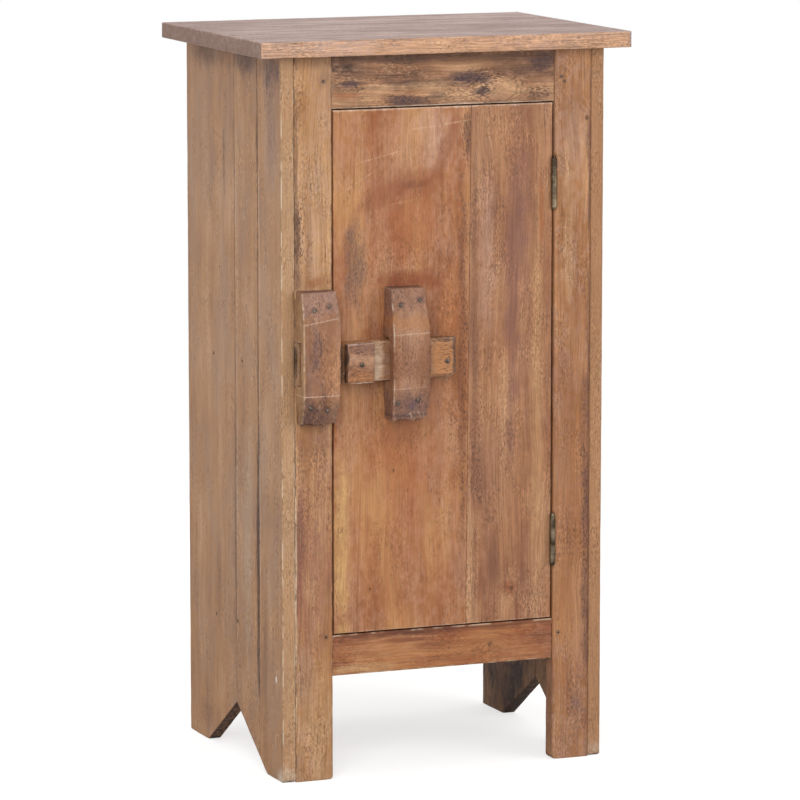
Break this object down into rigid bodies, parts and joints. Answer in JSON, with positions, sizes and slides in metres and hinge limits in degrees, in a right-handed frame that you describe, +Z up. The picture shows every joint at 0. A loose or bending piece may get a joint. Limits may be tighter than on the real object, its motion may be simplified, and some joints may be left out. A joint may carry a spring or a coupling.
{
  "type": "storage side table with door",
  "caption": "Narrow reclaimed-wood storage side table: overhanging plank top, framed plank door on butt hinges, sliding wooden bolt latch and notched side feet.",
  "frame": {"origin": "on the floor under the middle of the whole table's box, latch included", "axes": "+Z up, +X to the viewer's right when facing the door, +Y towards the back"},
  "size_m": [0.405, 0.3116, 0.754],
  "materials": {
    "top_teak": "waxed reclaimed teak, greyed",
    "side_teak": "waxed reclaimed teak, tan",
    "frame_teak": "waxed reclaimed teak, honey",
    "door_teak": "waxed reclaimed teak, orange honey",
    "inner_teak": "bare reclaimed teak",
    "latch_teak": "reclaimed teak, dark and worn",
    "hinge_brass": "antiqued brass"
  },
  "bodies": {
    "case": {"top_front_board": "top_teak", "top_middle_board": "top_teak", "top_rear_board": "top_teak", "left_side_front_board": "side_teak", "left_side_middle_board": "side_teak", "left_side_rear_board": "side_teak", "right_side_front_board": "side_teak", "right_side_middle_board": "side_teak", "right_side_rear_board": "side_teak", "left_stile": "frame_teak", "right_stile": "frame_teak", "top_rail": "frame_teak", "bottom_rail": "frame_teak", "back_left_board": "inner_teak", "back_middle_board": "inner_teak", "back_right_board": "inner_teak", "upper_back_rail": "inner_teak", "lower_back_rail": "inner_teak", "floor_front_board": "inner_teak", "floor_rear_board": "inner_teak", "shelf_front_board": "inner_teak", "shelf_rear_board": "inner_teak", "left_top_cleat": "inner_teak", "right_top_cleat": "inner_teak", "door_stop": "inner_teak", "bolt_keeper": "latch_teak", "upper_hinge_frame_leaf": "hinge_brass", "lower_hinge_frame_leaf": "hinge_brass", "upper_hinge_pin": "hinge_brass", "lower_hinge_pin": "hinge_brass"},
    "door": {"door_wide_plank": "door_teak", "door_narrow_plank": "door_teak", "upper_door_batten": "inner_teak", "lower_door_batten": "inner_teak", "bolt_guide": "latch_teak", "upper_hinge_door_leaf": "hinge_brass", "lower_hinge_door_leaf": "hinge_brass"},
    "bolt": {"bolt_bar": "latch_teak", "bolt_stop_block": "latch_teak"}
  },
  "joints": [
    {"name": "door_swing", "type": "hinge", "parent": "case", "child": "door", "pos_m": [0.1205, -0.12775, 0.41], "axis": [0, 0, 1], "range_deg": [0, 170]},
    {"name": "bolt_slide", "type": "slide", "parent": "door", "child": "bolt", "axis": [1, 0, 0], "range_m": [-0.006, 0.019]}
  ]
}
